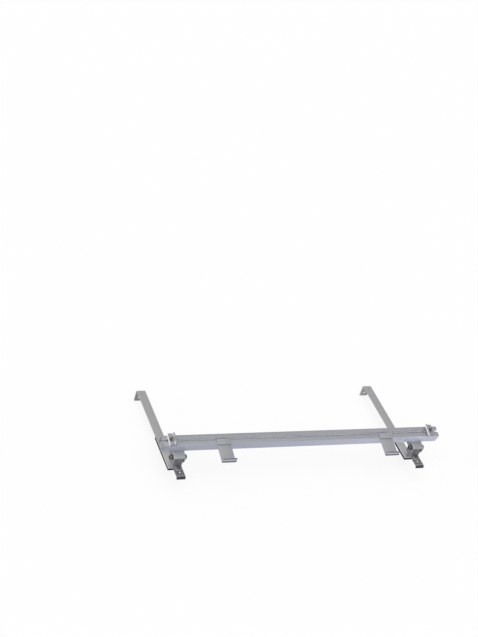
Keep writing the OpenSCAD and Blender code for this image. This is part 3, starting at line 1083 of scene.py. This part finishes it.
def weld_bead(name, middle, length, radius):
    """A rippled bead along Y."""
    deselect_all()
    bpy.ops.mesh.primitive_cylinder_add(
        vertices=BEAD_SIDES, radius=radius, depth=length,
        location=middle, rotation=(math.pi / 2, 0.0, 0.0)
    )
    bead = fix_place(bpy.context.object, name)
    bpy.ops.object.mode_set(mode="EDIT")
    rings = [middle[1] + length * (ring / RINGS - 0.5) for ring in range(RINGS + 1)]
    for y in rings[1:-1]:
        cut_across((0.0, y, 0.0), (0.0, 1.0, 0.0))
    for y in (rings[0], rings[-1]):
        draw_in(bead, y, BEAD_END, middle)
    for y in rings[1:-1:2]:
        draw_in(bead, y, VALLEY, middle)
    bpy.ops.object.mode_set(mode="OBJECT")
    soften = bead.modifiers.new("soften", "SUBSURF")
    soften.levels = 2
    bpy.ops.object.modifier_apply(modifier=soften.name)
    bpy.ops.object.shade_smooth()
    bead.data.materials.append(weld_metal)
    return bead


# %% All weld beads
BEAD_LENGTH = 0.022
RIB_LEFT = -HOOK_X + 0.004
RIB_THICK = 0.008
RIB_TOE_Y = -0.434
RIB_HEAD_Y = -0.443
toe_bead = weld_bead("toe_bead_1", (RIB_LEFT, RIB_TOE_Y, STRAP_TOP), BEAD_LENGTH, radius=0.0042)
arm_bead = weld_bead("arm_bead_1", (RIB_LEFT, RIB_HEAD_Y, ARM_UNDER), BEAD_LENGTH, radius=0.0035)
beads = [toe_bead, arm_bead]
for number, shift in ((2, RIB_THICK), (3, 2 * HOOK_X), (4, 2 * HOOK_X + RIB_THICK)):
    beads.append(copy_at(toe_bead, "toe_bead_" + str(number), (shift, 0.0, 0.0)))
    beads.append(copy_at(arm_bead, "arm_bead_" + str(number), (shift, 0.0, 0.0)))
for bead in beads:
    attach(bead, "hooks")
print("weld beads:", len(beads), "with", len(toe_bead.data.polygons), "faces each")

# %% [markdown]
# ## Threads
#
# A bolt's tail shows two turns of thread past its nut. A thread is one small triangle
# that winds round the shank and climbs by one pitch a turn, which is what the Screw
# modifier does. Its two open ends are then filled, so that the ridge is a closed body.

# %% One thread
TURNS = 2
STEPS_A_TURN = 28
RIDGE_SHARE = 0.48


def thread(name, radius, pitch, turned, place):
    """A wound ridge round a shank. It climbs along Z, then it is turned and put in its place."""
    deselect_all()
    bpy.ops.mesh.primitive_circle_add(
        vertices=3, radius=pitch * RIDGE_SHARE,
        location=(radius, 0.0, 0.0), rotation=(math.pi / 2, 0.0, 0.0)
    )
    ridge = fix_place(bpy.context.object, name)
    wind = ridge.modifiers.new("wind", "SCREW")
    wind.axis = "Z"
    wind.angle = math.tau
    wind.iterations = TURNS
    wind.screw_offset = pitch
    wind.steps = STEPS_A_TURN
    wind.render_steps = STEPS_A_TURN
    bpy.ops.object.modifier_apply(modifier=wind.name)
    bpy.ops.object.mode_set(mode="EDIT")
    bpy.ops.mesh.select_mode(type="EDGE")
    bpy.ops.mesh.select_all(action="DESELECT")
    bpy.ops.mesh.select_non_manifold()
    bpy.ops.mesh.fill_holes(sides=0)
    bpy.ops.mesh.select_all(action="SELECT")
    bpy.ops.mesh.normals_make_consistent(inside=False)
    bpy.ops.object.mode_set(mode="OBJECT")
    ridge.data.transform(Matrix.Translation(place) @ turned)
    ridge.data.materials.append(dark_bolt)
    return ridge


# %% [markdown]
# ## Threads in their places
#
# Each thread starts a hair inside the end of its bolt. The arm's bolt points down, the
# pivot's to the left, and the saddle's leans with the rail, so its place is found in the
# leaning frame and turned into the object's. The ridge's middle winds 0.1 mm under the
# shank's surface, which sinks its foot into the metal.

# %% Threads in their places
M10_WINDING = 0.0049
M10_PITCH = 0.0013
M8_WINDING = 0.0039
M8_PITCH = 0.0012
ARM_START = 0.0001
PIVOT_START = 0.0003
TAIL_START = 0.0004

arm_low, arm_high = corners("arm_bolts")
pivot_low = corners("pivot_bolts")[0]
tail_low = leaning_corners("saddle_bolts")[0]
upright = Matrix.Identity(4)
along_x = Matrix.Rotation(math.pi / 2, 4, "Y")
leaning = Matrix.Rotation(LEAN, 4, "X")
arm_place = Vector((-HOOK_X, (arm_low.y + arm_high.y) / 2, arm_low.z + ARM_START))
pivot_place = Vector((pivot_low.x + PIVOT_START, PIVOT.y, PIVOT.z))
saddle_place = PIVOT + leaning.to_3x3() @ Vector((-HOOK_X, RAIL_MID, tail_low.z + TAIL_START))
threads = [
    (thread("arm_thread_left", M10_WINDING, M10_PITCH, upright, arm_place), "hooks"),
    (thread("pivot_thread_left", M10_WINDING, M10_PITCH, along_x, pivot_place), "hooks"),
    (thread("saddle_thread_left", M8_WINDING, M8_PITCH, leaning, saddle_place), "rail"),
]
for ridge, body in threads:
    twin = copy_at(ridge, ridge.name.replace("left", "right"), (2 * HOOK_X, 0.0, 0.0))
    for piece in (ridge, twin):
        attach(piece, body)
        print(piece.name, "has", len(piece.data.polygons), "faces")
